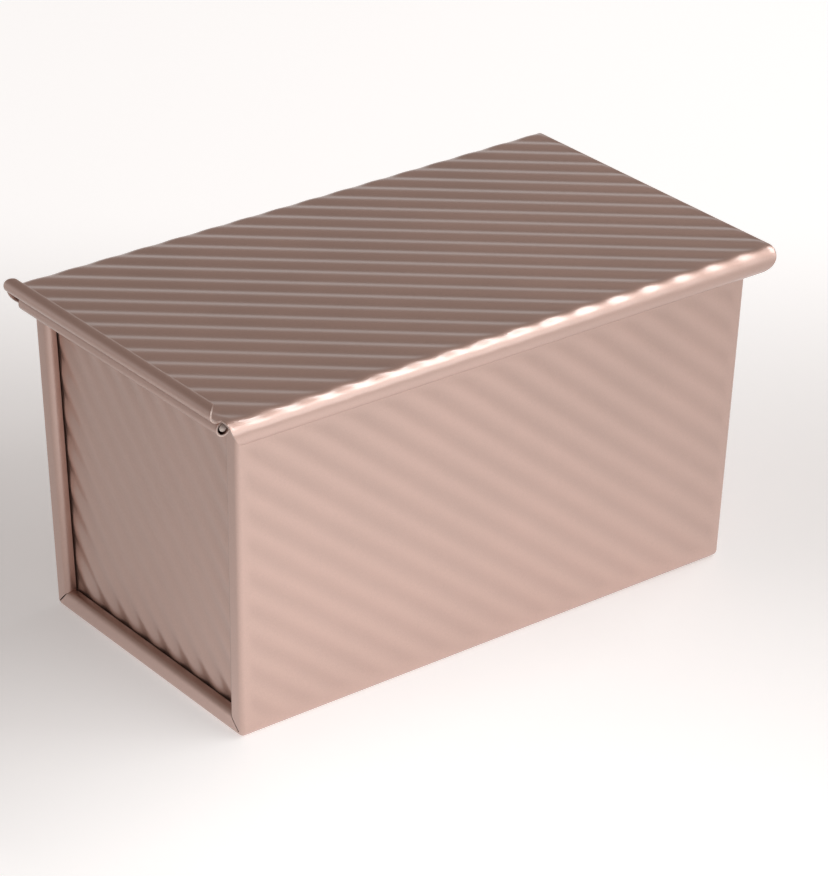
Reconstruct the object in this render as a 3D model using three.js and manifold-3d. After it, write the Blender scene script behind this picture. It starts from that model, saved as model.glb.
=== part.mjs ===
// Loaf tin of ribbed, coated steel sheet with a lid that slides on.
// Millimetres, +Z up. The origin is the middle of the base, X runs along the loaf,
// the front wall faces -Y, and the lid is drawn off towards -X by its curled end.
import * as THREE from 'three';
import { mergeVertices } from 'three/addons/utils/BufferGeometryUtils.js';
import Module from 'manifold-3d';

const wasm = await Module();
wasm.setup();

const { degToRad } = THREE.MathUtils;
const ORIGIN = new THREE.Vector2(0, 0);
const STRAIGHT = 1e-6; // a turn too small to be a bend

// Sheet, and the ribs rolled into it on the slant
const SHEET = 0.8; // thickness of every formed sheet
const RIB_PITCH = 8.28; // from crest to crest, square across the ribs
const RIB_HEIGHT = 0.13; // of a crest or a valley, from the plain sheet
const RIB_LAND = 2.4; // flat width of each crest and each valley
const RIB_FADE = 5; // run in which the ribs die out towards a bend
const RIB_ANGLE = degToRad(40); // ribs of the wrap and the lid, from the length
const PANEL_RIB_ANGLE = degToRad(48); // ribs of the end panels, from the level
const LAP = 1; // how far a plain strip and a ribbed sheet run into each other
const LAP_SINK = 0.05; // of the frame's wall below the rim's strip at their lap

// Body: the faces of the plain sheet at the level of the table
const BASE_LENGTH = 189.3;
const BASE_WIDTH = 101.4;
const RIM_HEIGHT = 109.1; // top of the rolled side rims
const SIDE_LEAN = degToRad(1.66); // outward lean of the side walls
const END_LEAN = degToRad(1.4); // outward lean of the ends
const FLOOR_BEND = 1.7; // bend from floor to wall, in the middle of the sheet
const RIM_BAND = 9; // plain strip from the top of the rims down to the ribs

// Folded frame round each end of the wrap
const FRAME_WIDTH = 6.6; // face of the frame
const FRAME_DEPTH = 3.4; // from the face to the edge of the return lip
const FRAME_BEND = 1.2; // corner from wall to frame
const LIP_BEND = 1.6; // corner from frame to return lip
const MITRE_RADIUS = 0.1; // of the inner corners, where the folds meet
const FRAME_MARGIN = 3; // plain strip from the end of the wall to the ribs

// Rims rolled along the sides
const RIM_RADIUS = 2.8; // outside of the roll
const RIM_TURN = degToRad(305);
const RIM_SETBACK = 1.5; // ends of the side rims, inside the ends of the tin

// Wires, and the end rims rolled round them
const WIRE_DIAMETER = 2.8;
const WIRE_FIT = 0.4; // round the wire
const WIRE_RECESS = 0.5; // of the wire's end inside the roll

// End panels, which the frames trap
const PANEL_FIT = 0.3; // all round, and to the return lip
const PANEL_MARGIN = 3; // plain strip beside the panel's flange
const PANEL_BEND = 1;
const END_RIM_DROP = 0.3; // top of an end rim below the side rims
const END_RIM_GAP = 0.9; // from the frame's face to the end rim
const FRAME_DROP = 0.2; // top of the frame below the start of the side rims' roll
const END_RIM_TURN = degToRad(255);

// Lid
const LID_FIT = 0.3; // from the rims up to the lid's valleys
const CHANNEL_FIT = 0.8; // round the rolled rims, inside the lid's channels
const CHANNEL_TURN = degToRad(185);
const FLAP_CORNER = 9; // rounded lower corners of the channels
const LID_SHORT_LEFT = 0.35; // channels inside the end rim at the curled end
const LID_PAST_RIGHT = 0.9; // lid past the end rim at the other end
const CURL_RADIUS = 2.35; // of the pull, in the middle of the sheet
const CURL_TURN = degToRad(190);
const CURL_SETBACK = 1.25; // start of the curl past the channels
const CURL_NOTCH = 1.2; // from the ends of the curl to the channels
const CURL_CORNER = 2.5; // taken off the curl's free corners

// Facets
const BEND_STEPS = 3;
const CHANNEL_STEPS = 5;
const CHANNEL_FADE_STEPS = 2; // of them, from the cover on, to the end of the ribs
const CORNER_STEPS = 6;
const ROLL_STEPS = 12;
const ROLL_LAP_STEPS = 2; // of them, shared by a rim's strip and its roll
const WIRE_SIDES = 16;

// Levels and places that follow from the sizes above
const halfSheet = SHEET / 2;
const ribReach = halfSheet + RIB_HEIGHT; // from the middle of the sheet to a crest
const floorFace = RIB_HEIGHT; // plain underside: the crests stand on the table
const bandFoot = RIM_HEIGHT - RIM_BAND;
const rollRadius = RIM_RADIUS - halfSheet;
const rollStart = RIM_HEIGHT - RIM_RADIUS;
const rimReach = endFace(rollStart) - RIM_SETBACK; // half the length of the side rims
const endRollRadius = WIRE_DIAMETER / 2 + WIRE_FIT + halfSheet;
const endRollOutside = endRollRadius + halfSheet;
const endRimLevel = RIM_HEIGHT - END_RIM_DROP - halfSheet;
const frameTop = rollStart - FRAME_DROP;
const panelEdge = SHEET + RIB_HEIGHT + PANEL_FIT; // outside of the panel's flange, from the wall's face
const panelDepth = FRAME_DEPTH + PANEL_FIT + ribReach; // middle of the panel, from the frame's face
const lidLevel = RIM_HEIGHT + LID_FIT + ribReach; // middle of the lid's sheet
const channelRadius = RIM_RADIUS + CHANNEL_FIT + ribReach;
const rimEnd = endFace(rollStart) + END_RIM_GAP + 2 * endRollOutside; // outside of an end rim
const endRollMiddle = new THREE.Vector2(-rimEnd + endRollOutside, endRimLevel - endRollRadius);
const endRimHalf = sideFace(bandFoot - LAP, panelEdge); // half the length of the end rims
const lidLeft = -rimEnd + LID_SHORT_LEFT;
const lidRight = rimEnd + LID_PAST_RIGHT;

// Half the width of the wrap at a height, measured to its plain face or a depth inside it
function sideFace(z, inset = 0) {
  return BASE_WIDTH / 2 + z * Math.tan(SIDE_LEAN) - inset / Math.cos(SIDE_LEAN);
}

// Half the length of the tin at a height, measured the same way
function endFace(z, inset = 0) {
  return BASE_LENGTH / 2 + z * Math.tan(END_LEAN) - inset / Math.cos(END_LEAN);
}

// The right-hand normal of a heading
function normalOf(heading) {
  return new THREE.Vector2(heading.y, -heading.x);
}

// A bent line: straight legs between corner points, joined by arcs. Each of its points
// knows the normal of the sheet there and whether ribs run through it.
function bentLine(corners, radius, ribs = []) {
  const last = corners.length - 1;
  const headings = corners.slice(1).map((corner, i) => corner.clone().sub(corners[i]).normalize());
  return corners.flatMap((corner, i) => {
    const into = headings[Math.max(i - 1, 0)];
    const out = headings[Math.min(i, last - 1)];
    const turn = Math.atan2(into.cross(out), into.dot(out));
    const at = corner.clone().addScaledVector(into, -radius * Math.tan(Math.abs(turn) / 2));
    const start = { at, normal: normalOf(into), rib: ribs[i] };
    const isStraight = Math.abs(turn) < STRAIGHT;
    return isStraight ? [start] : rolled([start], radius, turn, BEND_STEPS);
  });
}

// A line carried on round an arc, to the left where the turn is positive
function rolled(line, radius, turn, steps) {
  const { at, normal, rib } = line.at(-1);
  const centre = rollCentre(line, radius, turn);
  const arc = Array.from({ length: steps }, (_, k) => {
    const angle = (turn * (k + 1)) / steps;
    return {
      at: at.clone().rotateAround(centre, angle),
      normal: normal.clone().rotateAround(ORIGIN, angle),
      rib,
    };
  });
  return [...line, ...arc];
}

// The middle of the arc that carries a line on
function rollCentre(line, radius, turn) {
  const { at, normal } = line.at(-1);
  return at.clone().addScaledVector(normal, -radius * Math.sign(turn));
}

// A line's mirror image across the first axis's zero, walked the other way round
function mirrored(line) {
  const flip = (v) => new THREE.Vector2(-v.x, v.y);
  return line.map(({ at, normal, rib }) => ({ at: flip(at), normal: flip(normal), rib })).reverse();
}

// Developed length of a line at each of its points, from its middle
function runs(line) {
  let length = 0;
  const along = line.map(({ at }, i) => {
    length += i === 0 ? 0 : at.distanceTo(line[i - 1].at);
    return length;
  });
  return along.map((run) => run - length / 2);
}

// A closed sheet on a lattice of rows and columns. place(i, j, face) gives the
// point of a row and a column on the face 1 or -1.
function sheetGeometry(rows, columns, place) {
  const points = [];
  const index = [];
  const id = (i, j, face) => (j * rows + i) * 2 + (face > 0 ? 0 : 1);
  const quad = (a, b, c, d) => index.push(a, b, c, a, c, d);
  const lastRow = rows - 1;
  const lastColumn = columns - 1;
  for (let j = 0; j < columns; j += 1) {
    for (let i = 0; i < rows; i += 1) {
      points.push(...place(i, j, 1).toArray(), ...place(i, j, -1).toArray());
    }
  }
  for (let j = 0; j < lastColumn; j += 1) {
    for (let i = 0; i < lastRow; i += 1) {
      quad(id(i, j, 1), id(i + 1, j, 1), id(i + 1, j + 1, 1), id(i, j + 1, 1));
      quad(id(i, j, -1), id(i, j + 1, -1), id(i + 1, j + 1, -1), id(i + 1, j, -1));
    }
    quad(id(0, j, 1), id(0, j + 1, 1), id(0, j + 1, -1), id(0, j, -1));
    quad(id(lastRow, j, 1), id(lastRow, j, -1), id(lastRow, j + 1, -1), id(lastRow, j + 1, 1));
  }
  for (let i = 0; i < lastRow; i += 1) {
    quad(id(i, 0, 1), id(i, 0, -1), id(i + 1, 0, -1), id(i + 1, 0, 1));
    quad(id(i, lastColumn, 1), id(i + 1, lastColumn, 1), id(i + 1, lastColumn, -1), id(i, lastColumn, -1));
  }
  const geometry = new THREE.BufferGeometry();
  geometry.setAttribute('position', new THREE.Float32BufferAttribute(points, 3));
  geometry.setIndex(index);
  return geometry;
}

// A plain sheet bent along a line and swept straight between the stations that
// station(at, j, i) places
function plainSheet(line, columns, station) {
  return sheetGeometry(line.length, columns, (i, j, face) => {
    const at = line[i].at.clone().addScaledVector(line[i].normal, face * halfSheet);
    return station(at, j, i);
  });
}

// The columns of a ribbed sheet: both edges of every crest and valley between two
// places across the ribs
function ribColumns(from, to) {
  const edge = RIB_LAND / 2;
  const half = RIB_PITCH / 2;
  const lands = [[-edge, 1], [edge, 1], [half - edge, -1], [half + edge, -1]];
  const first = Math.floor(from / RIB_PITCH) - 1;
  const count = Math.ceil(to / RIB_PITCH) + 1 - first;
  return Array.from({ length: count }, (_, k) => lands.map(([offset, side]) => ({
    across: (first + k) * RIB_PITCH + offset,
    height: side * RIB_HEIGHT,
  }))).flat();
}

// A sheet bent along a line with ribs on the slant, long enough to be cut to
// plus and minus the reach. place(at, along) puts a point of the section in space.
function ribbedSheet(line, angle, reach, place) {
  const run = runs(line);
  const skew = 1 / Math.tan(angle);
  const span = (reach + skew * run.at(-1)) * Math.sin(angle);
  const columns = ribColumns(-span, span);
  return sheetGeometry(line.length, columns.length, (i, j, face) => {
    const { across, height } = columns[j];
    const { at, normal, rib } = line[i];
    const point = at.clone().addScaledVector(normal, height * rib + face * halfSheet);
    return place(point, across / Math.sin(angle) + skew * run[i]);
  });
}

// A block between two heights whose half length and half width follow the height
function taperedBlock(low, high, reachX, reachY) {
  return sheetGeometry(2, 2, (i, j, face) => {
    const z = face > 0 ? high : low;
    return new THREE.Vector3((2 * i - 1) * reachX(z), (2 * j - 1) * reachY(z), z);
  });
}

// Volume inside a closed indexed geometry, negative where its faces point inwards
function signedVolume(geometry) {
  const { array } = geometry.attributes.position;
  const corner = (k) => new THREE.Vector3().fromArray(array, geometry.index.array[k] * 3);
  let volume = 0;
  for (let k = 0; k < geometry.index.count; k += 3) {
    volume += corner(k).dot(corner(k + 1).cross(corner(k + 2))) / 6;
  }
  return volume;
}

// A geometry as a solid that can be joined and cut
function solid(geometry) {
  geometry.deleteAttribute('normal');
  geometry.deleteAttribute('uv');
  const merged = mergeVertices(geometry);
  const triVerts = Uint32Array.from(merged.index.array);
  if (signedVolume(merged) < 0) {
    triVerts.reverse();
  }
  const vertProperties = Float32Array.from(merged.attributes.position.array);
  return new wasm.Manifold(new wasm.Mesh({ numProp: 3, vertProperties, triVerts }));
}

function join(...geometries) {
  return geometries.map(solid).reduce((whole, piece) => whole.add(piece));
}

function geometryOf(shape) {
  const { vertProperties, triVerts } = shape.getMesh();
  const geometry = new THREE.BufferGeometry();
  geometry.setAttribute('position', new THREE.BufferAttribute(vertProperties, 3));
  geometry.setIndex(new THREE.BufferAttribute(triVerts, 1));
  geometry.computeVertexNormals();
  return geometry;
}

// The other end of the tin is the same shape, turned half round
function atOtherEnd(geometry) {
  return geometry.clone().rotateZ(Math.PI);
}

// A point of a cross-section of the tin, at a distance along it
function alongTin(at, along) {
  return new THREE.Vector3(along, at.x, at.y);
}

// Front wall, floor and back wall: one ribbed sheet, cut square with the leaning ends
function ribbedTrough() {
  const middle = floorFace + halfSheet;
  const wallAt = (z) => new THREE.Vector2(-sideFace(z, halfSheet), z);
  const fade = FLOOR_BEND + RIB_FADE;
  const foot = wallAt(middle);
  const front = bentLine([
    wallAt(bandFoot),
    wallAt(middle + fade),
    foot,
    new THREE.Vector2(foot.x + fade, middle),
  ], FLOOR_BEND, [1, 1, 0, 1]);
  const line = [...front, ...mirrored(front)];
  const sheet = ribbedSheet(line, RIB_ANGLE, endFace(bandFoot), alongTin);
  const cut = taperedBlock(-BASE_WIDTH, RIM_HEIGHT, (z) => endFace(z, FRAME_MARGIN), () => BASE_WIDTH);
  return solid(sheet).intersect(solid(cut));
}

// The front wall's plain strip, up to where the rim's roll starts
function rimStrip() {
  const foot = bandFoot - LAP;
  return bentLine([
    new THREE.Vector2(-sideFace(foot, halfSheet), foot),
    new THREE.Vector2(-sideFace(rollStart, halfSheet), rollStart),
  ], 0);
}

// Middle of the front roll
function rimCentre() {
  return rollCentre(rimStrip(), rollRadius, RIM_TURN);
}

// The front rim: its strip runs between the end frames with the first of the roll,
// and the roll itself runs on over them
function rolledRim() {
  const strip = rimStrip();
  const whole = rolled(strip, rollRadius, RIM_TURN, ROLL_STEPS);
  const started = whole.slice(0, strip.length + ROLL_LAP_STEPS);
  const wall = plainSheet(started, 2, (at, j) => alongTin(at, (2 * j - 1) * endFace(at.y, FRAME_MARGIN)));
  const roll = plainSheet(whole.slice(strip.length - 1), 2, (at, j) => alongTin(at, (2 * j - 1) * rimReach));
  return join(wall, roll);
}

// A strip folded round the left end's two sides and foot. Its line is drawn in inset
// from the wall and depth from the frame's face. Its corners follow the floor's bend
// and end in a mitre.
function endFold(line, top) {
  const corner = FLOOR_BEND + halfSheet;
  const half = BEND_STEPS + 2;
  return plainSheet(line, 2 * half, (at, j) => {
    const side = j < half ? -1 : 1;
    const station = j < half ? j : 2 * half - 1 - j;
    const radius = Math.max(corner - at.x, MITRE_RADIUS);
    const turn = ((station - 1) / BEND_STEPS) * (Math.PI / 2);
    const level = floorFace + at.x + radius;
    const isTop = station === 0;
    const z = isTop ? top : level - radius * Math.sin(turn);
    const y = isTop ? sideFace(z, at.x) : sideFace(level, at.x + radius) + radius * Math.cos(turn);
    return new THREE.Vector3(-endFace(z, at.y), side * y, z);
  });
}

// The folded frame of the left end: wall, face and return lip
function endFrame() {
  const line = bentLine([
    new THREE.Vector2(halfSheet + LAP_SINK, FRAME_MARGIN + LAP),
    new THREE.Vector2(halfSheet, halfSheet),
    new THREE.Vector2(FRAME_WIDTH - halfSheet, halfSheet),
  ], FRAME_BEND);
  const lip = FRAME_DEPTH - LIP_BEND - halfSheet;
  const face = line.at(-1);
  face.at.x -= LIP_BEND;
  const turned = rolled(line, LIP_BEND, -Math.PI / 2, BEND_STEPS);
  const edge = turned.at(-1);
  const end = { at: edge.at.clone().add(new THREE.Vector2(0, lip)), normal: edge.normal };
  return endFold([...turned, end], frameTop);
}

function bodyWrap() {
  const rim = rolledRim();
  const frame = endFrame();
  const otherRim = solid(atOtherEnd(geometryOf(rim)));
  return ribbedTrough().add(rim).add(otherRim).add(join(frame, atOtherEnd(frame)));
}

// The ribbed web of the left end panel, cut to its outline
function panelWeb() {
  const inset = panelEdge + halfSheet + PANEL_MARGIN - LAP;
  const webAt = (z) => new THREE.Vector2(-endFace(z, panelDepth), z);
  const line = bentLine([webAt(0), webAt(RIM_HEIGHT)], 0, [1, 1]);
  const reach = sideFace(RIM_HEIGHT);
  const place = (at, along) => new THREE.Vector3(at.x, along, at.y);
  const sheet = ribbedSheet(line, PANEL_RIB_ANGLE, reach, place);
  const outline = taperedBlock(floorFace + inset, bandFoot, () => BASE_LENGTH, (z) => sideFace(z, inset));
  return solid(sheet).intersect(solid(outline));
}

// The left panel's flange, turned out along the walls and the floor
function panelFlange() {
  const edge = panelEdge + halfSheet;
  const line = bentLine([
    new THREE.Vector2(edge + PANEL_MARGIN, panelDepth),
    new THREE.Vector2(edge, panelDepth),
    new THREE.Vector2(edge, SHEET + PANEL_FIT),
  ], PANEL_BEND);
  return endFold(line, frameTop);
}

// The left panel's top edge, turned out over the frame and rolled down
function endRim() {
  const foot = bandFoot - LAP;
  const line = bentLine([
    new THREE.Vector2(-endFace(foot, panelDepth), foot),
    new THREE.Vector2(-endFace(endRimLevel, panelDepth), endRimLevel),
    new THREE.Vector2(endRollMiddle.x, endRimLevel),
  ], PANEL_BEND);
  const whole = rolled(line, endRollRadius, END_RIM_TURN, ROLL_STEPS);
  return plainSheet(whole, 2, (at, j) => new THREE.Vector3(at.x, (2 * j - 1) * endRimHalf, at.y));
}

function endPanel() {
  return panelWeb().add(join(panelFlange(), endRim()));
}

// A wire in an end rim
function rimWire() {
  const length = 2 * (endRimHalf - WIRE_RECESS);
  return new THREE.CylinderGeometry(WIRE_DIAMETER / 2, WIRE_DIAMETER / 2, length, WIRE_SIDES);
}

// Cover and channels: one ribbed sheet, bent round both rims
function ribbedCover() {
  const rim = rimCentre();
  const edge = { at: new THREE.Vector2(rim.x, lidLevel), normal: new THREE.Vector2(0, 1) };
  const channel = rolled([edge], channelRadius, CHANNEL_TURN, CHANNEL_STEPS);
  const front = channel.map((point, k) => ({ ...point, rib: Math.max(0, 1 - k / CHANNEL_FADE_STEPS) }));
  const line = [...mirrored(front), ...front];
  return ribbedSheet(line, RIB_ANGLE, lidRight, alongTin);
}

// Side view of the cover: square ends above, rounded lower corners on the channels
function coverOutline() {
  const bottom = lidLevel - 2 * channelRadius - ribReach;
  const top = lidLevel + RIM_BAND;
  const shape = new THREE.Shape();
  shape.moveTo(lidLeft, top);
  shape.lineTo(lidLeft, bottom + FLAP_CORNER);
  shape.absarc(lidLeft + FLAP_CORNER, bottom + FLAP_CORNER, FLAP_CORNER, Math.PI, 1.5 * Math.PI);
  shape.absarc(lidRight - FLAP_CORNER, bottom + FLAP_CORNER, FLAP_CORNER, 1.5 * Math.PI, 2 * Math.PI);
  shape.lineTo(lidRight, top);
  const prism = new THREE.ExtrudeGeometry(shape, {
    depth: 2 * BASE_WIDTH,
    bevelEnabled: false,
    curveSegments: CORNER_STEPS,
  });
  return prism.rotateX(Math.PI / 2).translate(0, BASE_WIDTH, 0);
}

// The pull: the lid's left edge rolled up and over, with its free corners taken off
function curl() {
  const start = lidLeft - CURL_SETBACK;
  const line = bentLine([
    new THREE.Vector2(lidLeft + LAP, lidLevel),
    new THREE.Vector2(start, lidLevel),
  ], 0);
  const whole = rolled(line, CURL_RADIUS, -CURL_TURN, ROLL_STEPS);
  const half = -rimCentre().x - CURL_NOTCH;
  const cornerStart = whole.length / 2;
  return plainSheet(whole, 2, (at, j, i) => {
    const share = Math.max(0, i - cornerStart) / (whole.length - 1 - cornerStart);
    const reach = half - CURL_CORNER * share ** 2;
    return new THREE.Vector3(at.x, (2 * j - 1) * reach, at.y);
  });
}

function lidShape() {
  return solid(ribbedCover()).intersect(solid(coverOutline())).add(solid(curl()));
}

function coated() {
  return new THREE.MeshStandardMaterial({ color: 0xb49a8c, roughness: 0.42, metalness: 0.75 });
}

function wireSteel() {
  return new THREE.MeshStandardMaterial({ color: 0xa9a6a2, roughness: 0.35, metalness: 1 });
}

function piece(name, geometry, material) {
  const mesh = new THREE.Mesh(geometry, material);
  mesh.name = name;
  return mesh;
}

const tin = new THREE.Group();
const panel = geometryOf(endPanel());

const leftPanel = piece('end_panel_left', panel, coated());
const rightPanel = piece('end_panel_right', panel, coated());
rightPanel.rotation.z = Math.PI;

const leftWire = piece('rim_wire_left', rimWire(), wireSteel());
leftWire.position.set(endRollMiddle.x, 0, endRollMiddle.y);
const rightWire = piece('rim_wire_right', rimWire(), wireSteel());
rightWire.position.set(-endRollMiddle.x, 0, endRollMiddle.y);

tin.add(
  piece('body_wrap', geometryOf(bodyWrap()), coated()),
  leftPanel,
  rightPanel,
  leftWire,
  rightWire,
  piece('lid', geometryOf(lidShape()), coated()),
);

export default tin;
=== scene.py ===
"""Ribbed loaf tin of coated steel sheet, with a lid that slides off by its curled end."""
import math

import bmesh
import bpy
import numpy as np
from mathutils import Matrix, Vector


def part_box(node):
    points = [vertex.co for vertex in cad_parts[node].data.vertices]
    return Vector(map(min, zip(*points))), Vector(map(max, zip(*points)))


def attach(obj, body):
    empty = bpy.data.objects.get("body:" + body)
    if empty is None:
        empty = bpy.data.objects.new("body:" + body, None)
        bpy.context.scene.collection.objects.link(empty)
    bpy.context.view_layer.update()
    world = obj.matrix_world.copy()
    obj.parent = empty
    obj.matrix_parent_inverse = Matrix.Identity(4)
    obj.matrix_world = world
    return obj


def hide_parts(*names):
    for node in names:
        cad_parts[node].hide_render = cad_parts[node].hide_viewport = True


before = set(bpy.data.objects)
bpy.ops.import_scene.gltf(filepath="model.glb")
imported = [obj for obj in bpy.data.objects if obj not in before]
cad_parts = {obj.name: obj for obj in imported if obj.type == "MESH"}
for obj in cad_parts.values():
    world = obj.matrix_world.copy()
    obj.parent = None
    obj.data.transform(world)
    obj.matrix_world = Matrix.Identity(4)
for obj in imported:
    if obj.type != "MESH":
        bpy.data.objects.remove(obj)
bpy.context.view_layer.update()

# Body wrap: one coated steel sheet, ribbed on the slant while it is flat and then folded into front
# wall, floor and back wall. Its ends are folded in as picture frames, with a cut mitre at the foot,
# and its top edges are rolled outwards as plain rims that the lid slides on.
MM = 0.001
SHEET = 0.8 * MM
RIB_PITCH = 8.28 * MM
WALL_RIB = 0.19 * MM  # height of a crest, or depth of a trough, from the plain sheet
RIB_SLANT = math.radians(40)
RIB_COLUMNS = 12  # of the lattice, to each rib
BASE_LENGTH = 189.3 * MM
BASE_WIDTH = 101.4 * MM
RIM_HEIGHT = 109.1 * MM
SIDE_LEAN = math.radians(1.66)
END_LEAN = math.radians(1.4)
FLOOR_BEND = 1.7 * MM
FLOOR_LIFT = 0.01 * MM  # of the floor's lowest crests, above the table
RIM_BAND = 8 * MM  # plain strip below the top of the wall
RIB_FADE = 5 * MM  # run in which the ribs die out
FADE_STEPS = 5
BEND_STEPS = 8
FRAME_WIDTH = 6.6 * MM
FRAME_DEPTH = 3.4 * MM
FRAME_BEND = 1.2 * MM
FRAME_FADE = 4 * MM
LIP_BEND = 1.6 * MM
MITRE_SLIT = 0.3 * MM
RIM_RADIUS = 2.8 * MM
RIM_TURN = math.radians(305)
RIM_SETBACK = 1.5 * MM  # of the rolls' ends, from the end's face
FRAME_DROP = 0.2 * MM  # of the frames' tops, below the start of the rolls
ROLL_STEPS = 24
EDGE_ROUND = 0.12 * MM
EDGE_ANGLE = math.radians(60)  # sharper edges than this were cut, and are eased
EDGE_STEPS = 2
SMOOTH_BELOW = math.radians(40)
PAINTED_TROUGH_SHADE = (0.91, 0.905, 0.90)  # painted shade: the coating's colour is darkened in the rib troughs, in place of the shading between the ribs
CLOUD_SCALE = 22  # per metre, of the faint clouds in a metal finish
CLOUD_SHARE = 0.45
CLOUD_DETAIL = 2
GRAIN_DETAIL = 3
NOISE_LOW = 0.35  # noise below this is all dark, and above the next all light
NOISE_HIGH = 0.65
NEAR = 0.02 * MM  # two places closer than this are the same
ROLL_SLACK = 0.1 * MM  # of a roll's points, from its true circle

half_sheet = SHEET / 2
floor_face = WALL_RIB + FLOOR_LIFT
roll_radius = RIM_RADIUS - half_sheet
roll_start = RIM_HEIGHT - RIM_RADIUS


def side_face(z, inset=0.0):
    """Half the width of the wrap at a height, to its plain face or a depth inside it."""
    return BASE_WIDTH / 2 + z * math.tan(SIDE_LEAN) - inset / math.cos(SIDE_LEAN)


def end_face(z, inset=0.0):
    """Half the length of the tin at a height, measured the same way."""
    return BASE_LENGTH / 2 + z * math.tan(END_LEAN) - inset / math.cos(END_LEAN)


def arc(start, centre, turn, steps):
    """Points round a centre, from a start that is left out. A positive turn is to the left."""
    spoke = start - centre
    points = []
    for step in range(1, steps + 1):
        cos, sin = math.cos(turn * step / steps), math.sin(turn * step / steps)
        points.append(centre + Vector((spoke.x * cos - spoke.y * sin, spoke.x * sin + spoke.y * cos)))
    return points


def bend(start, corner, end, radius, steps):
    """Points of the arc that rounds a corner between two places, from tangent to tangent."""
    into, out = (corner - start).normalized(), (end - corner).normalized()
    turn = math.atan2(into.cross(out), into.dot(out))
    first = corner - into * radius * math.tan(abs(turn) / 2)
    centre = first + Vector((-into.y, into.x)) * math.copysign(radius, turn)
    return [first] + arc(first, centre, turn, steps)


def steps_between(start, end, steps):
    """Evenly spaced points from one place to another, without the first."""
    return [start.lerp(end, step / steps) for step in range(1, steps + 1)]


def ribbed_blank(name, line, slant, reach, place):
    """A plain sheet folded along a line, on a lattice whose columns follow the ribs to come. Its UV
    map keeps each point's place on the flat blank: across the ribs, and along the line."""
    run = np.cumsum([0] + [(b - a).length for a, b in zip(line, line[1:])])
    run -= run[-1] / 2
    skew = 1 / math.tan(slant)
    ribs = 2 * math.ceil((reach + skew * run[-1]) * math.sin(slant) / RIB_PITCH)
    rows = len(line) - 1
    bpy.ops.object.select_all(action="DESELECT")
    bpy.ops.mesh.primitive_grid_add(x_subdivisions=ribs * RIB_COLUMNS, y_subdivisions=rows, size=2)
    sheet = bpy.context.object
    sheet.name = name
    for vertex in sheet.data.vertices:
        row = round((vertex.co.y + 1) / 2 * rows)
        across = vertex.co.x * ribs / 2 * RIB_PITCH
        vertex.co = place(line[row], across / math.sin(slant) + skew * run[row])
    bpy.ops.object.mode_set(mode="EDIT")
    bpy.ops.mesh.select_all(action="SELECT")
    bpy.ops.mesh.flip_normals()
    bpy.ops.object.mode_set(mode="OBJECT")
    sheet["ribs"] = ribs
    return sheet


def cut(sheet, point, normal, clear=True):
    """Cuts a sheet along a plane, and clears what is beyond it or leaves a line of vertices there."""
    bpy.ops.object.mode_set(mode="EDIT")
    bpy.ops.mesh.select_all(action="SELECT")
    bpy.ops.mesh.bisect(plane_co=point, plane_no=normal, clear_outer=clear, threshold=NEAR / 100)
    bpy.ops.object.mode_set(mode="OBJECT")


def press_ribs(sheet, height, share, end_share):
    """Presses the ribs out of a plain sheet along its normals. share is how much of their height each row
    of the blank has, and end_share(place) what is left of it at a place. A point attribute keeps where the
    sheet lies lowest, as the mask for the painted shade that darkens the coating in the troughs."""
    mesh = sheet.data
    flat = {}
    for loop, uv in zip(mesh.loops, mesh.uv_layers.active.data):
        flat[loop.vertex_index] = uv.uv.copy()
    rows = np.linspace(0, 1, len(share))
    normals = [vertex.normal.copy() for vertex in mesh.vertices]
    trough_shade_mask = mesh.attributes.new("trough_shade_mask", "FLOAT", "POINT").data
    for vertex, normal in zip(mesh.vertices, normals):
        across, along = flat[vertex.index]
        phase = 2 * math.pi * sheet["ribs"] * (across - 0.5)
        left = np.interp(along, rows, share) * end_share(vertex.co)
        vertex.co += normal * (height * math.cos(phase) * left)
        trough_shade_mask[vertex.index].value = left * (1 - math.cos(phase)) / 2
    mesh.update()


def ease(share):
    """A share from 0 to 1, eased at both ends."""
    share = min(max(share, 0), 1)
    return share * share * (3 - 2 * share)


def select_free_edges(sheet, test):
    """In edit mode, selects the edges at a sheet's rim whose two ends pass a test."""
    bpy.ops.object.mode_set(mode="EDIT")
    bpy.ops.mesh.select_mode(type="EDGE")
    bpy.ops.mesh.select_all(action="DESELECT")
    mesh = bmesh.from_edit_mesh(sheet.data)
    for edge in mesh.edges:
        edge.select_set(edge.is_boundary and all(test(v.co) for v in edge.verts))
    bmesh.update_edit_mesh(sheet.data)


def extend(sheet, move):
    """Extrudes the selected edges, and puts each new vertex where move(place) says."""
    bpy.ops.mesh.extrude_region_move()
    mesh = bmesh.from_edit_mesh(sheet.data)
    for vertex in mesh.verts:
        if vertex.select:
            vertex.co = move(vertex.co.copy())
    bmesh.update_edit_mesh(sheet.data)


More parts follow.
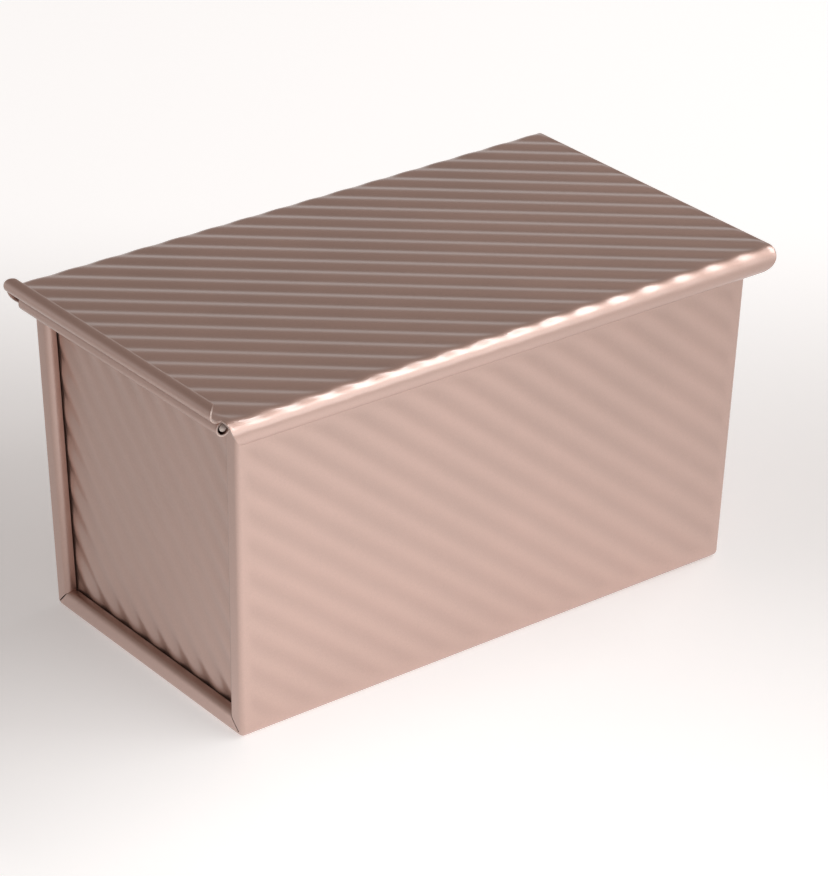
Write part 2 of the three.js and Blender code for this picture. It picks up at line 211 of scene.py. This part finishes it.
def metal_grain():
    """Node group for the fine grain of a metal finish: its colour, roughness and relief."""
    group = bpy.data.node_groups.new("metal_grain", "ShaderNodeTree")
    for name, kind in (("Dark", "Color"), ("Light", "Color"), ("Grain Scale", "Float"),
                       ("Smooth", "Float"), ("Rough", "Float")):
        group.interface.new_socket(name, in_out="INPUT", socket_type="NodeSocket" + kind)
    for name, kind in (("Color", "Color"), ("Roughness", "Float"), ("Relief", "Float")):
        group.interface.new_socket(name, in_out="OUTPUT", socket_type="NodeSocket" + kind)
    nodes, link = group.nodes, group.links.new
    given, result = nodes.new("NodeGroupInput"), nodes.new("NodeGroupOutput")
    place = nodes.new("ShaderNodeTexCoord").outputs["Object"]
    flakes, clouds = nodes.new("ShaderNodeTexNoise"), nodes.new("ShaderNodeTexNoise")
    flakes.inputs["Detail"].default_value = GRAIN_DETAIL
    clouds.inputs["Scale"].default_value = CLOUD_SCALE
    clouds.inputs["Detail"].default_value = CLOUD_DETAIL
    link(given.outputs["Grain Scale"], flakes.inputs["Scale"])
    link(place, flakes.inputs["Vector"])
    link(place, clouds.inputs["Vector"])
    both = nodes.new("ShaderNodeMix")
    both.inputs["Factor"].default_value = CLOUD_SHARE
    link(flakes.outputs["Fac"], both.inputs["A"])
    link(clouds.outputs["Fac"], both.inputs["B"])
    spread = nodes.new("ShaderNodeMapRange")
    spread.inputs["From Min"].default_value = NOISE_LOW
    spread.inputs["From Max"].default_value = NOISE_HIGH
    link(both.outputs["Result"], spread.inputs["Value"])
    colour = nodes.new("ShaderNodeMix")
    colour.data_type = "RGBA"
    rough = nodes.new("ShaderNodeMix")
    for mix in (colour, rough):
        link(spread.outputs["Result"], mix.inputs["Factor"])
    dark, light = (socket for socket in colour.inputs if socket.type == "RGBA")
    link(given.outputs["Dark"], dark)
    link(given.outputs["Light"], light)
    link(given.outputs["Smooth"], rough.inputs["A"])
    link(given.outputs["Rough"], rough.inputs["B"])
    link(next(s for s in colour.outputs if s.type == "RGBA"), result.inputs["Color"])
    link(rough.outputs["Result"], result.inputs["Roughness"])
    link(flakes.outputs["Fac"], result.inputs["Relief"])
    return group


grain_group = metal_grain()


def metal_finish(name, dark, light, grain_size, smooth, rough, relief):
    """A metal finish with fine grain: two colours, the size of a grain, roughness and relief."""
    material = bpy.data.materials.new(name)
    material.use_nodes = True
    nodes, link = material.node_tree.nodes, material.node_tree.links.new
    shader = nodes["Principled BSDF"]
    grain, bump = nodes.new("ShaderNodeGroup"), nodes.new("ShaderNodeBump")
    grain.node_tree = grain_group
    grain.inputs["Dark"].default_value = (*dark, 1)
    grain.inputs["Light"].default_value = (*light, 1)
    grain.inputs["Grain Scale"].default_value = 1 / grain_size
    grain.inputs["Smooth"].default_value = smooth
    grain.inputs["Rough"].default_value = rough
    bump.inputs["Distance"].default_value = relief
    link(grain.outputs["Color"], shader.inputs["Base Color"])
    link(grain.outputs["Roughness"], shader.inputs["Roughness"])
    link(grain.outputs["Relief"], bump.inputs["Height"])
    link(bump.outputs["Normal"], shader.inputs["Normal"])
    shader.inputs["Metallic"].default_value = 1
    return material, shader


coating, coating_shader = metal_finish(
    "champagne_coating", dark=(0.60, 0.417, 0.357), light=(0.66, 0.458, 0.393),
    grain_size=0.5 * MM, smooth=0.46, rough=0.52, relief=0.004 * MM)
coating_shader.inputs["Coat Weight"].default_value = 1
coating_shader.inputs["Coat Roughness"].default_value = 0.2
coating_shader.inputs["Coat IOR"].default_value = 1.8
# Painted shade: the trough mask multiplies the coating's colour darker in the troughs of the ribs, in
# place of the shading the ribs would get from the lights.
nodes, link = coating.node_tree.nodes, coating.node_tree.links.new
trough_shade_mask, shaded = nodes.new("ShaderNodeAttribute"), nodes.new("ShaderNodeMix")
trough_shade_mask.attribute_name = "trough_shade_mask"
shaded.data_type = "RGBA"
shaded.blend_type = "MULTIPLY"
plain, shade = (socket for socket in shaded.inputs if socket.type == "RGBA")
shade.default_value = (*PAINTED_TROUGH_SHADE, 1)
link(trough_shade_mask.outputs["Fac"], shaded.inputs["Factor"])
link(coating_shader.inputs["Base Color"].links[0].from_socket, plain)
link(next(s for s in shaded.outputs if s.type == "RGBA"), coating_shader.inputs["Base Color"])
bare_edge, _ = metal_finish(
    "sheared_edge", dark=(0.58, 0.46, 0.41), light=(0.70, 0.58, 0.53),
    grain_size=0.2 * MM, smooth=0.35, rough=0.5, relief=0.01 * MM)


def finish_sheet(sheet, thickness=SHEET):
    """Gives a folded sheet its thickness, with eased edges where it was cut."""
    bpy.ops.object.mode_set(mode="EDIT")
    bpy.ops.mesh.select_all(action="SELECT")
    bpy.ops.mesh.remove_doubles(threshold=NEAR / 10)
    bpy.ops.mesh.normals_make_consistent(inside=False)
    bpy.ops.object.mode_set(mode="OBJECT")
    sheet.data.uv_layers.remove(sheet.data.uv_layers.active)
    sheet.data.materials.append(coating)
    sheet.data.materials.append(bare_edge)
    wall = sheet.modifiers.new("thickness", "SOLIDIFY")
    wall.thickness = thickness
    wall.offset = 0
    wall.use_even_offset = True
    wall.material_offset_rim = 1
    bpy.ops.object.modifier_apply(modifier=wall.name)
    eased = sheet.modifiers.new("eased_edges", "BEVEL")
    eased.width = EDGE_ROUND
    eased.segments = EDGE_STEPS
    eased.limit_method = "ANGLE"
    eased.angle_limit = EDGE_ANGLE
    bpy.ops.object.modifier_apply(modifier=eased.name)
    bpy.ops.object.shade_smooth_by_angle(angle=SMOOTH_BELOW)


wall_middle = floor_face + half_sheet
frame_top = roll_start - FRAME_DROP
frame_start = half_sheet + FRAME_BEND
rim_reach = end_face(roll_start) - RIM_SETBACK
rim_middle = Vector((side_face(roll_start, half_sheet) + roll_radius * math.cos(SIDE_LEAN),
                     roll_start - roll_radius * math.sin(SIDE_LEAN)))


def tin_section():
    """Half the section of the tin, from the front wall's top to the middle of the floor, and the
    share of the ribs' height at each of its points."""
    def wall(z):
        return Vector((-side_face(z, half_sheet), z))
    band = wall(RIM_HEIGHT - RIM_BAND)
    below_band = wall(RIM_HEIGHT - RIM_BAND - RIB_FADE)
    foot = wall(wall_middle)
    middle = Vector((0, wall_middle))
    corner = bend(band, foot, middle, FLOOR_BEND, BEND_STEPS)
    above_corner = corner[0].lerp(band, RIB_FADE / (corner[0] - band).length)
    past_corner = corner[-1] + Vector((RIB_FADE, 0))
    line = [wall(roll_start), wall(frame_top), band]
    line += steps_between(band, below_band, FADE_STEPS)
    line += [below_band.lerp(above_corner, 0.5), above_corner]
    line += steps_between(above_corner, corner[0], FADE_STEPS)
    line += corner[1:]
    line += steps_between(corner[-1], past_corner, FADE_STEPS)
    down = [ease(step / FADE_STEPS) for step in range(1, FADE_STEPS + 1)]
    share = [0, 0, 0] + down + [1, 1] + down[-2::-1] + [0] + [0] * BEND_STEPS + down
    return line, share


half_line, half_share = tin_section()
wrap_line = half_line + [Vector((-p.x, p.y)) for p in reversed(half_line)]
wrap_share = half_share + half_share[::-1]
wrap = ribbed_blank("wrap_sheet", wrap_line, RIB_SLANT, end_face(RIM_HEIGHT),
                    lambda at, along: Vector((along, at.x, at.y)))
for end in (-1, 1):
    lean = Vector((end * math.cos(END_LEAN), 0, -math.sin(END_LEAN)))
    cut(wrap, (end * end_face(0, frame_start), 0, 0), lean)
    for step in range(1, FADE_STEPS + 1):
        depth = frame_start + FRAME_FADE * step / FADE_STEPS
        cut(wrap, (end * end_face(0, depth), 0, 0), lean, clear=False)
press_ribs(wrap, WALL_RIB, wrap_share,
           lambda at: ease((end_face(at.z, frame_start) - abs(at.x)) / FRAME_FADE))


def roll(centre, axis, turn, steps):
    """Rolls the selected edges on round an axis, by the right-hand rule."""
    bpy.ops.mesh.spin(steps=steps, angle=-turn, center=centre, axis=axis)


def frame_corner(inset):
    """Radius, level and half width of the frame's lower corners, at an inset from the wall."""
    radius = max(FLOOR_BEND + half_sheet - inset, MITRE_SLIT)
    level = floor_face + inset + radius
    return radius, level, side_face(level, inset + radius)


def fold_frame(place, before, after):
    """Moves a point of an end frame on, from one inset and depth to another."""
    radius, level, half = frame_corner(before.x)
    new_radius, new_level, new_half = frame_corner(after.x)
    drop, out = level - place.z, abs(place.y) - half
    if drop <= NEAR:
        z = new_level - drop * (frame_top - new_level) / (frame_top - level)
        y = side_face(z, after.x)
    elif out <= NEAR:
        z = floor_face + after.x
        y = abs(place.y) * new_half / half
    else:
        angle = math.atan2(drop, out)
        z = new_level - new_radius * math.sin(angle)
        y = new_half + new_radius * math.cos(angle)
    x = end_face(z, after.y)
    return Vector((math.copysign(x, place.x), math.copysign(y, place.y), z))


def frame_line():
    """Section of an end frame, in inset from the wall and depth from the end's face."""
    face = Vector((half_sheet, half_sheet))
    lip = Vector((FRAME_WIDTH - half_sheet, half_sheet))
    edge = Vector((lip.x, FRAME_DEPTH))
    mitre = Vector((FLOOR_BEND + half_sheet - MITRE_SLIT, half_sheet))
    corner = bend(Vector((half_sheet, FRAME_DEPTH)), face, lip, FRAME_BEND, BEND_STEPS)
    return corner + [mitre] + bend(face, lip, edge, LIP_BEND, BEND_STEPS) + [edge]


def part_at_mitre(sheet, inset):
    """Deselects the edges of the frame's corners, so that wall and foot go on apart."""
    radius, level, half = frame_corner(inset)
    mesh = bmesh.from_edit_mesh(sheet.data)
    for edge in mesh.edges:
        mid = (edge.verts[0].co + edge.verts[1].co) / 2
        if edge.select and mid.z < level - NEAR / 2 and abs(mid.y) > half + NEAR / 2:
            edge.select_set(False)
    for edge in mesh.edges:
        if edge.select:
            edge.select_set(True)
    bmesh.update_edit_mesh(sheet.data)


def at_end(at, end, depth):
    """Whether a point lies on a plane that leans with one end of the tin."""
    return abs(end * at.x - end_face(at.z, depth)) < NEAR


section = frame_line()
for end in (-1, 1):
    select_free_edges(wrap, lambda at: at_end(at, end, frame_start) and at.z < frame_top + NEAR)
    for before, after in zip(section, section[1:]):
        extend(wrap, lambda at: fold_frame(at, before, after))
        if after.x < FLOOR_BEND + half_sheet <= after.x + 2 * MITRE_SLIT:
            part_at_mitre(wrap, after.x)
for side in (-1, 1):
    centre = Vector((0, side * rim_middle.x, rim_middle.y))
    select_free_edges(wrap, lambda at: abs(at.z - roll_start) < NEAR and side * at.y > 0)
    roll(centre, (-side, 0, 0), RIM_TURN, ROLL_STEPS)
    strip_end = end_face(roll_start, frame_start)

    def on_roll(at):
        """Whether a point lies on the roll, where the strip that was rolled ends."""
        away = math.hypot(at.y - centre.y, at.z - centre.z) - roll_radius
        return abs(away) < ROLL_SLACK and abs(abs(at.x) - strip_end) < NEAR

    select_free_edges(wrap, on_roll)
    extend(wrap, lambda at: Vector((math.copysign(rim_reach, at.x), at.y, at.z)))
finish_sheet(wrap)
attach(wrap, "tin")
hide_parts("body_wrap")

# End panels: a thinner ribbed sheet at each end, with the same coating, set back behind the frame. Its
# sides and foot are turned out as a flange that the frame traps, and its top is turned out over the
# frame and rolled down round a wire.
PANEL_SHEET = 0.6 * MM
PANEL_RIB = 0.21 * MM
PANEL_SLANT = math.radians(48)
PANEL_FIT = 0.3 * MM
PANEL_BEND = 1 * MM
PANEL_FADE = 3.5 * MM  # run in which the ribs die out, at foot and top
PANEL_PLAIN = 2.4 * MM  # strip without ribs, beside the bends of the flange
PANEL_SIDE_FADE = 3 * MM
PANEL_MIDDLE = 0.3  # share of the ribs' height that is left in the middle
PANEL_REACH = 18 * MM  # run in which they get down to it
WIRE_DIAMETER = 2.8 * MM
WIRE_FIT = 0.4 * MM
WEB_STEPS = 16
END_RIM_DROP = 0.3 * MM
END_RIM_GAP = 0.9 * MM
END_RIM_TURN = math.radians(255)
END_RIM_LENGTH = 104.6 * MM

panel_edge = SHEET + WALL_RIB + PANEL_FIT
panel_depth = FRAME_DEPTH + PANEL_FIT + half_sheet + PANEL_RIB
end_rim_level = RIM_HEIGHT - END_RIM_DROP - half_sheet
end_roll_radius = WIRE_DIAMETER / 2 + WIRE_FIT + half_sheet
rim_end = end_face(roll_start) + END_RIM_GAP + 2 * (end_roll_radius + half_sheet)
web_inset = panel_edge + half_sheet + PANEL_BEND


def web_at(z):
    """The left web's middle at a height."""
    return Vector((-end_face(z, panel_depth), z))


def fold_flange(place, before, after):
    """Moves a point of the left panel's flange on, from one inset and depth to another."""
    foot, new_foot = floor_face + before.x, floor_face + after.x
    if abs(place.z - foot) < NEAR:
        z = new_foot
        y = abs(place.y) * side_face(z, after.x) / side_face(foot, before.x)
    else:
        z = frame_top - (frame_top - place.z) * (frame_top - new_foot) / (frame_top - foot)
        y = side_face(z, after.x)
    return Vector((-end_face(z, after.y), math.copysign(y, place.y), z))


over_frame = Vector((-rim_end + end_roll_radius + half_sheet, end_rim_level))
top_bend = bend(web_at(0), web_at(end_rim_level), over_frame, PANEL_BEND, BEND_STEPS)
web_foot = web_at(floor_face + web_inset)
web_line = [web_foot] + steps_between(web_foot, web_at(web_foot.y + PANEL_FADE), FADE_STEPS)
web_line += steps_between(web_line[-1], web_at(frame_top - PANEL_FADE), WEB_STEPS)
web_line += steps_between(web_at(frame_top - PANEL_FADE), web_at(frame_top), FADE_STEPS) + [top_bend[0]]
rise = [ease(step / FADE_STEPS) for step in range(FADE_STEPS + 1)]
web_share = rise + [1] * (WEB_STEPS - 1) + rise[::-1] + [0]
left_panel = ribbed_blank("left_end_sheet", web_line, PANEL_SLANT, side_face(RIM_HEIGHT),
                          lambda at, along: Vector((at.x, along, at.y)))
for side in (-1, 1):
    lean = Vector((0, side * math.cos(SIDE_LEAN), -math.sin(SIDE_LEAN)))
    cut(left_panel, (0, side * side_face(0, web_inset), 0), lean)
    for step in range(FADE_STEPS + 1):
        inset = web_inset + PANEL_PLAIN + PANEL_SIDE_FADE * step / FADE_STEPS
        cut(left_panel, (0, side * side_face(0, inset), 0), lean, clear=False)


def web_ribs(at):
    """What is left of the ribs at a place of the web: they are deepest close to the frame."""
    inside = side_face(at.z, web_inset + PANEL_PLAIN) - abs(at.y)
    near = min(inside, at.z - web_foot.y, frame_top - at.z) - PANEL_SIDE_FADE
    depth = PANEL_MIDDLE + (1 - PANEL_MIDDLE) * ease(1 - near / PANEL_REACH)
    return ease(inside / PANEL_SIDE_FADE) * depth


press_ribs(left_panel, PANEL_RIB, web_share, web_ribs)
flange_edge = Vector((panel_edge + half_sheet, SHEET + PANEL_FIT))
flange_corner = Vector((flange_edge.x, panel_depth))
flange_line = bend(Vector((web_inset, panel_depth)), flange_corner, flange_edge, PANEL_BEND, BEND_STEPS)
flange_line += [flange_edge]
select_free_edges(left_panel, lambda at: at.z < frame_top + NEAR)
for before, after in zip(flange_line, flange_line[1:]):
    extend(left_panel, lambda at: fold_flange(at, before, after))

end_roll_middle = over_frame - Vector((0, end_roll_radius))
top_line = top_bend[1:] + [over_frame] + arc(over_frame, end_roll_middle, END_RIM_TURN, ROLL_STEPS)
widening = END_RIM_LENGTH / 2 / side_face(top_bend[0].y, web_inset)
select_free_edges(left_panel, lambda at: abs(at.z - top_bend[0].y) < NEAR)
for after in top_line:
    extend(left_panel, lambda at: Vector((after.x, at.y * widening, after.y)))
    widening = 1
finish_sheet(left_panel, PANEL_SHEET)
right_panel = left_panel.copy()
right_panel.data = left_panel.data.copy()
right_panel.name = "right_end_sheet"
right_panel.data.transform(Matrix.Rotation(math.pi, 4, "Z"))
bpy.context.scene.collection.objects.link(right_panel)
for panel, node in ((left_panel, "end_panel_left"), (right_panel, "end_panel_right")):
    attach(panel, "tin")
    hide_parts(node)

# Rim wires: straight drawn steel rods inside the end rims, sheared off a little short of the rolls'
# ends. They lie against the inner side of the roll, and only their cut ends show.
WIRE_SIDES = 40
WIRE_BURR = 0.25 * MM  # taken off round the cut ends
BURR_STEPS = 3
WIRE_SHIFT = 0.36 * MM  # towards the tin, from the middle of the roll

drawn_steel, _ = metal_finish(
    "drawn_steel", dark=(0.55, 0.48, 0.44), light=(0.70, 0.62, 0.58),
    grain_size=0.3 * MM, smooth=0.35, rough=0.5, relief=0.02 * MM)


def rim_wire(name, node):
    """A rod along its node, moved against the inner side of the roll, with eased ends."""
    low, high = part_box(node)
    place = (low + high) / 2
    place.x -= math.copysign(WIRE_SHIFT, place.x)
    bpy.ops.object.select_all(action="DESELECT")
    bpy.ops.mesh.primitive_cylinder_add(
        vertices=WIRE_SIDES, radius=WIRE_DIAMETER / 2, depth=high.y - low.y,
        location=place, rotation=(math.pi / 2, 0, 0))
    rod = bpy.context.object
    rod.name = name
    bpy.ops.object.transform_apply(location=True, rotation=True, scale=True)
    bpy.ops.object.mode_set(mode="EDIT")
    bpy.ops.mesh.select_mode(type="FACE")
    bpy.ops.mesh.select_all(action="DESELECT")
    mesh = bmesh.from_edit_mesh(rod.data)
    for face in mesh.faces:
        face.select_set(len(face.verts) == WIRE_SIDES)
    bmesh.update_edit_mesh(rod.data)
    bpy.ops.mesh.bevel(offset=WIRE_BURR, segments=BURR_STEPS, affect="EDGES")
    bpy.ops.object.mode_set(mode="OBJECT")
    bpy.ops.object.shade_smooth_by_angle(angle=SMOOTH_BELOW)
    rod.data.materials.append(drawn_steel)
    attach(rod, "tin")
    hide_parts(node)


rim_wire("left_wire", "rim_wire_left")
rim_wire("right_wire", "rim_wire_right")

# Lid: a ribbed cover of the thinner sheet, coated alike. Its long edges are bent round the rolled rims
# as channels, in which the ribs die out, and its left edge is rolled up and back as the pull that
# draws it off.
LID_SHEET = 0.6 * MM
LID_RIB = 0.21 * MM
LID_FIT = 0.5 * MM
LID_FADE = 4.5 * MM  # of the cover, before its channels, in which the ribs start to die out
LID_EDGE_FADE = 2 * MM  # the same at its right edge
CHANNEL_FIT = 0.67 * MM
CHANNEL_TURN = math.radians(185)
CHANNEL_STEPS = 20
CHANNEL_FADE_TURN = math.radians(110)  # of the channel, where the ribs end
FLAP_CORNER = 7.8 * MM  # radius of the channels' lower corners
CORNER_STEPS = 10
LID_SHORT_LEFT = 0.35 * MM  # of the left end rim
LID_PAST_RIGHT = 0.85 * MM  # the right end rim
CURL_RADIUS = 2.28 * MM
CURL_TURN = math.radians(190)
CURL_SETBACK = 1.25 * MM  # flat strip before the curl
CURL_NOTCH = 1.2 * MM  # at each side of it
CURL_CORNER = 2.5 * MM
CURL_FADE = 2.5 * MM

lid_level = RIM_HEIGHT + LID_FIT + LID_SHEET / 2 + LID_RIB
channel_radius = RIM_RADIUS + CHANNEL_FIT + LID_SHEET / 2 + LID_RIB
lid_left = -rim_end + LID_SHORT_LEFT
lid_right = rim_end + LID_PAST_RIGHT
lid_edge = Vector((-rim_middle.x, lid_level))
curl_half = -lid_edge.x - CURL_NOTCH
full_ribs = lid_edge + Vector((LID_FADE, 0))
channel_centre = lid_edge - Vector((0, channel_radius))
half_lid = [full_ribs] + steps_between(full_ribs, Vector((-curl_half, lid_level)), FADE_STEPS) + [lid_edge]
half_lid += arc(lid_edge, channel_centre, CHANNEL_TURN, CHANNEL_STEPS)
fade_run = LID_FADE + channel_radius * CHANNEL_FADE_TURN
half_run = np.cumsum([0] + [(b - a).length for a, b in zip(half_lid, half_lid[1:])])
half_lid_share = [ease(1 - run / fade_run) for run in half_run]
lid_line = [Vector((-p.x, p.y)) for p in reversed(half_lid)] + half_lid
lid = ribbed_blank("lid_sheet", lid_line, RIB_SLANT, lid_right,
                   lambda at, along: Vector((along, at.x, at.y)))
cut(lid, (lid_left, 0, 0), (-1, 0, 0))
cut(lid, (lid_right, 0, 0), (1, 0, 0))
for step in range(1, FADE_STEPS + 1):
    cut(lid, (lid_left + CURL_FADE * step / FADE_STEPS, 0, 0), (1, 0, 0), clear=False)
    cut(lid, (lid_right - LID_EDGE_FADE * step / FADE_STEPS, 0, 0), (1, 0, 0), clear=False)
press_ribs(lid, LID_RIB, half_lid_share[::-1] + half_lid_share,
           lambda at: ease((at.x - lid_left) / CURL_FADE) * ease((lid_right - at.x) / LID_EDGE_FADE))

flap_level = lid_level - 2 * channel_radius + FLAP_CORNER
for end, x in ((-1, lid_left), (1, lid_right)):
    corner_middle = Vector((x - end * FLAP_CORNER, 0, flap_level))
    for step in range(1, CORNER_STEPS):
        turn = math.pi / 2 * step / CORNER_STEPS
        out = Vector((end * math.cos(turn), 0, -math.sin(turn)))
        cut(lid, corner_middle + out * FLAP_CORNER, out)

curl_centre = Vector((lid_left - CURL_SETBACK, 0, lid_level + CURL_RADIUS))
select_free_edges(lid, lambda at: abs(at.x - lid_left) < NEAR and abs(at.y) < curl_half + NEAR
                  and abs(at.z - lid_level) < NEAR)
extend(lid, lambda at: at - Vector((CURL_SETBACK, 0, 0)))
roll(curl_centre, (0, 1, 0), CURL_TURN, ROLL_STEPS)
mesh = bmesh.from_edit_mesh(lid.data)
for vertex in mesh.verts:
    spoke = vertex.co - curl_centre
    if vertex.co.x < lid_left and abs(math.hypot(spoke.x, spoke.z) - CURL_RADIUS) < NEAR:
        turned = math.atan2(-spoke.x, -spoke.z) % (2 * math.pi)
        past_half = max(0, 2 * turned / CURL_TURN - 1)
        vertex.co.y *= 1 - CURL_CORNER / curl_half * past_half ** 2
bmesh.update_edit_mesh(lid.data)
finish_sheet(lid, LID_SHEET)
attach(lid, "cover")
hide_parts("lid")

# Stage: a wide pale paper floor that glows, with a painted pool of light in front and a painted glow
# behind, both made by the paper's own emission, two soft lights, and a dim room with a pale wall low down
# behind the tin and another in front. The lid mirrors the dim part above the back wall, so it stays dark.
# The camera stands where the photograph was taken from.
FLOOR_SIZE = 6
PAPER = (0.86, 0.86, 0.86)
PAPER_ROUGH = 0.8
POOL_PLACE = (-0.12, -0.22, 0)
POOL_REACH = 0.51
POOL_GLOW = 0.64
SWEEP_REACH = 0.3  # run towards the back wall in which the floor's glow rises
SWEEP_GLOW = 0.5
BACKDROP_WAY = (0.61, 0.79, 0)
BACKDROP_SIDE = -0.2  # cosine of the angle from its middle at which the backdrop ends
BACKDROP_FULL = 0.5
BACKDROP_LOW = 0.08  # sine of the height up to which the backdrop is bright
BACKDROP_HIGH = 0.42
BACKDROP_BRIGHT = 0.7
FRONT_WAY = (0.45, -0.89, 0)  # the wall in front, in the same terms
FRONT_SIDE = 0.3
FRONT_FULL = 0.9
FRONT_LOW = 0.1
FRONT_HIGH = 0.5
FRONT_BRIGHT = 0.55
ROOM_DIM = (0.27, 0.228, 0.208)
CAMERA_PLACE = (-0.61127, -0.79608, 0.56589)
CAMERA_FORWARD = (0.54637, 0.70225, -0.45643)
CAMERA_RIGHT = (0.79252, -0.60975, 0.01054)
CAMERA_LENS = 147.345
CAMERA_FILM = 36

bpy.ops.object.select_all(action="DESELECT")
bpy.ops.mesh.primitive_plane_add(size=FLOOR_SIZE)
floor = bpy.context.object
floor.name = "floor"
paper = bpy.data.materials.new("glowing_pale_paper")
paper.use_nodes = True
paper_shader = paper.node_tree.nodes["Principled BSDF"]
paper_shader.inputs["Base Color"].default_value = (*PAPER, 1)
paper_shader.inputs["Roughness"].default_value = PAPER_ROUGH
# Painted light: the paper glows though it is no lamp. The glow is brightest in a pool in front of the tin
# and rises in a sweep towards the back wall.
paper_shader.inputs["Emission Color"].default_value = (1, 1, 1, 1)

nodes, link = paper.node_tree.nodes, paper.node_tree.links.new
pool_place, pool_way = nodes.new("ShaderNodeTexCoord"), nodes.new("ShaderNodeVectorMath")
pool_way.operation = "DISTANCE"
pool_way.inputs[1].default_value = POOL_PLACE
pool = nodes.new("ShaderNodeMapRange")
pool.interpolation_type = "SMOOTHSTEP"
pool.inputs["From Max"].default_value = POOL_REACH
pool.inputs["To Min"].default_value = POOL_GLOW
pool.inputs["To Max"].default_value = 0
link(pool_place.outputs["Object"], pool_way.inputs[0])
link(pool_way.outputs["Value"], pool.inputs["Value"])
sweep_way, sweep, glow = (nodes.new("ShaderNode" + kind) for kind in ("VectorMath", "MapRange", "Math"))
sweep_way.operation = "DOT_PRODUCT"
sweep_way.inputs[1].default_value = BACKDROP_WAY
sweep.interpolation_type = "SMOOTHSTEP"
sweep.inputs["From Max"].default_value = SWEEP_REACH
sweep.inputs["To Max"].default_value = SWEEP_GLOW
link(pool_place.outputs["Object"], sweep_way.inputs[0])
link(sweep_way.outputs["Value"], sweep.inputs["Value"])
link(pool.outputs["Result"], glow.inputs[0])
link(sweep.outputs["Result"], glow.inputs[1])
link(glow.outputs["Value"], paper_shader.inputs["Emission Strength"])
floor.data.materials.append(paper)


def softbox(name, direction, distance, width, length, power):
    """A rectangular area light that faces the tin from a direction, with its width square to the
    length of the tin."""
    light = bpy.data.lights.new(name, "AREA")
    light.shape = "RECTANGLE"
    light.size, light.size_y = width, length
    light.energy = power
    lamp = bpy.data.objects.new(name, light)
    out = Vector(direction).normalized()
    across = Vector((1, 0, 0)).cross(out).normalized()
    turn = Matrix((across, out.cross(across), out)).transposed().to_4x4()
    lamp.matrix_world = Matrix.Translation(out * distance) @ turn
    bpy.context.scene.collection.objects.link(lamp)


softbox("key", direction=(0.546, -0.22, 0.81), distance=2.2, width=1.8, length=0.2, power=12.5)
softbox("fill", direction=(0.35, -0.8, 0.5), distance=2.4, width=2, length=1.6, power=17)
world = bpy.data.worlds.new("studio")
world.use_nodes = True
nodes, link = world.node_tree.nodes, world.node_tree.links.new
sky_place, height = nodes.new("ShaderNodeTexCoord"), nodes.new("ShaderNodeSeparateXYZ")
link(sky_place.outputs["Generated"], height.inputs["Vector"])


def pale_wall(behind, way, side, full, high, low, bright):
    """Lays a pale wall over the colour of the room behind it: brightest in the middle of its way and
    low down, fading out at its sides and upwards."""
    across, cover, wall = (nodes.new("ShaderNode" + kind) for kind in ("VectorMath", "Math", "Mix"))
    across.operation = "DOT_PRODUCT"
    across.inputs[1].default_value = way
    link(sky_place.outputs["Generated"], across.inputs[0])
    cover.operation = "MULTIPLY"
    bounds = (height.outputs["Z"], high, low), (across.outputs["Value"], side, full)
    for source, (value, outside, inside) in zip(cover.inputs, bounds):
        fall = nodes.new("ShaderNodeMapRange")
        fall.interpolation_type = "SMOOTHSTEP"
        fall.inputs["From Min"].default_value = outside
        fall.inputs["From Max"].default_value = inside
        link(value, fall.inputs["Value"])
        link(fall.outputs["Result"], source)
    wall.data_type = "RGBA"
    room_colour, wall_colour = (socket for socket in wall.inputs if socket.type == "RGBA")
    link(cover.outputs["Value"], wall.inputs["Factor"])
    link(behind, room_colour)
    wall_colour.default_value = (bright, bright, bright, 1)
    return next(socket for socket in wall.outputs if socket.type == "RGBA")


room = nodes.new("ShaderNodeRGB").outputs["Color"]
room.default_value = (*ROOM_DIM, 1)
sky = pale_wall(room, BACKDROP_WAY, side=BACKDROP_SIDE, full=BACKDROP_FULL,
                high=BACKDROP_HIGH, low=BACKDROP_LOW, bright=BACKDROP_BRIGHT)
sky = pale_wall(sky, FRONT_WAY, side=FRONT_SIDE, full=FRONT_FULL,
                high=FRONT_HIGH, low=FRONT_LOW, bright=FRONT_BRIGHT)
link(sky, nodes["Background"].inputs["Color"])
bpy.context.scene.world = world

camera_data = bpy.data.cameras.new("camera")
camera_data.lens = CAMERA_LENS
camera_data.sensor_fit = "VERTICAL"
camera_data.sensor_height = CAMERA_FILM
camera = bpy.data.objects.new("camera", camera_data)
forward = Vector(CAMERA_FORWARD).normalized()
right = Vector(CAMERA_RIGHT)
right = (right - forward * right.dot(forward)).normalized()
turn = Matrix((right, right.cross(forward), -forward)).transposed().to_4x4()
camera.matrix_world = Matrix.Translation(CAMERA_PLACE) @ turn
bpy.context.scene.collection.objects.link(camera)
bpy.context.scene.camera = camera
bpy.context.scene.view_settings.view_transform = "Standard"
